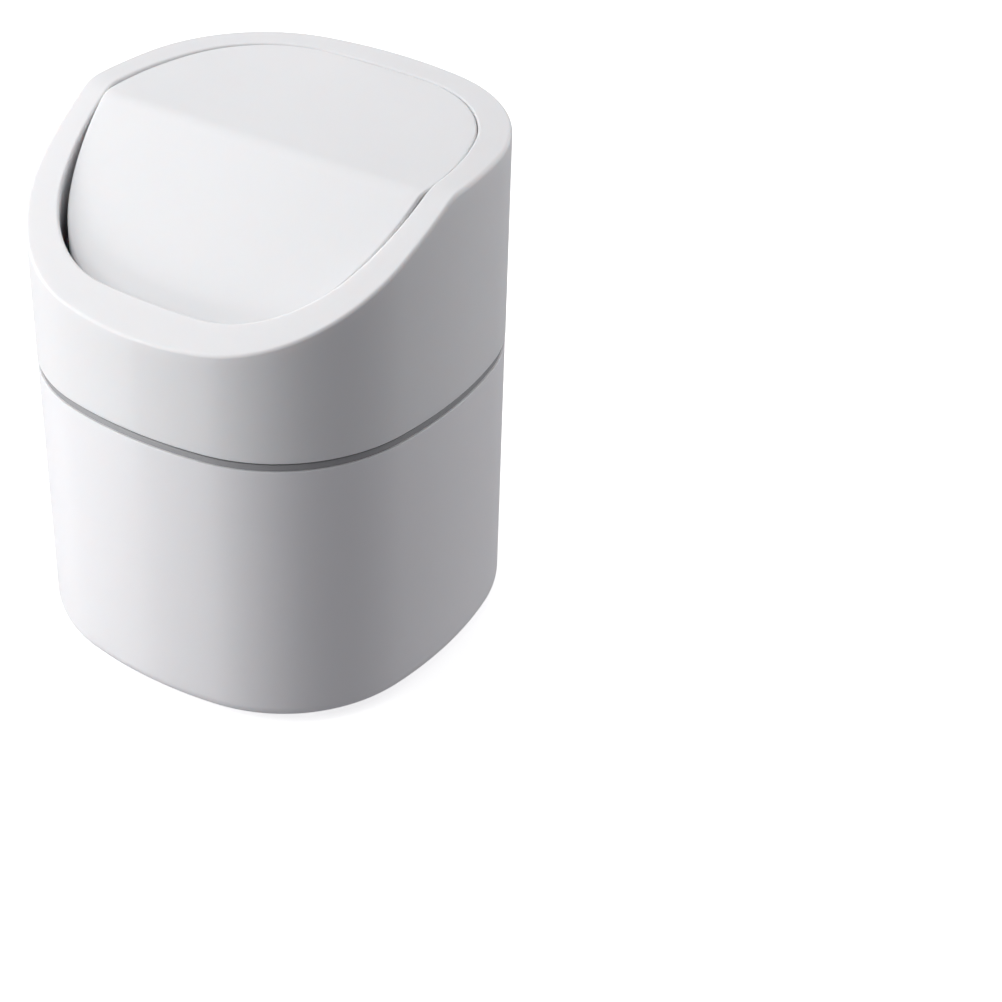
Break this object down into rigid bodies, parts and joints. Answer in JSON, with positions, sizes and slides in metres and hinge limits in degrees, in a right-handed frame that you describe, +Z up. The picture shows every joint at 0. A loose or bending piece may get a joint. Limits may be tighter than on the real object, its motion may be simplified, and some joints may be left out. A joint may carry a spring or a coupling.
{
  "type": "swing-lid bin",
  "caption": "Rounded-square countertop waste bin with a sloped lift-off hood, a bent counterweighted swing lid, a bag ring and non-slip feet.",
  "frame": {"origin": "on the worktop, under the middle of the can", "axes": "+Z up; the sloped front faces -Y; +X to the right seen from the front, along the lid's hinge line"},
  "size_m": [0.135, 0.135, 0.165],
  "materials": {
    "tub_plastic": "matte moulded plastic, white with a cool tint",
    "hood_plastic": "matte moulded plastic, white with a cool tint",
    "lid_plastic": "matte moulded plastic, white with a cool tint",
    "ring_plastic": "matte grey moulded plastic",
    "bush_nylon": "natural nylon",
    "steel": "zinc plated steel",
    "soft_rubber": "soft grey silicone rubber"
  },
  "bodies": {
    "tub": {"bin_body": "tub_plastic", "foot_pad_front_left": "soft_rubber", "foot_pad_front_right": "soft_rubber", "foot_pad_rear_left": "soft_rubber", "foot_pad_rear_right": "soft_rubber"},
    "ring": {"bag_ring": "ring_plastic"},
    "hood": {"hood_shell": "hood_plastic", "pivot_bush_left": "bush_nylon", "pivot_bush_right": "bush_nylon", "lid_stop_pad_left": "soft_rubber", "lid_stop_pad_right": "soft_rubber"},
    "lid": {"lid_panel": "lid_plastic", "lid_under_tray": "lid_plastic", "counterweight": "steel", "tray_screws": "steel", "pivot_pin_left": "steel", "pivot_pin_right": "steel"}
  },
  "joints": [
    {"name": "hood_lift", "type": "slide", "parent": "tub", "child": "hood", "axis": [0, 0, 1], "range_m": [0, 0.1]},
    {"name": "ring_lift", "type": "slide", "parent": "tub", "child": "ring", "axis": [0, 0, 1], "range_m": [0, 0.05]},
    {"name": "lid_swing", "type": "hinge", "parent": "hood", "child": "lid", "pos_m": [0, -0.0017, 0.1595], "axis": [1, 0, 0], "range_deg": [0, 54]}
  ],
  "couplings": [
    {"joint": "ring_lift", "follows": "hood_lift", "ratio": 0.5}
  ]
}
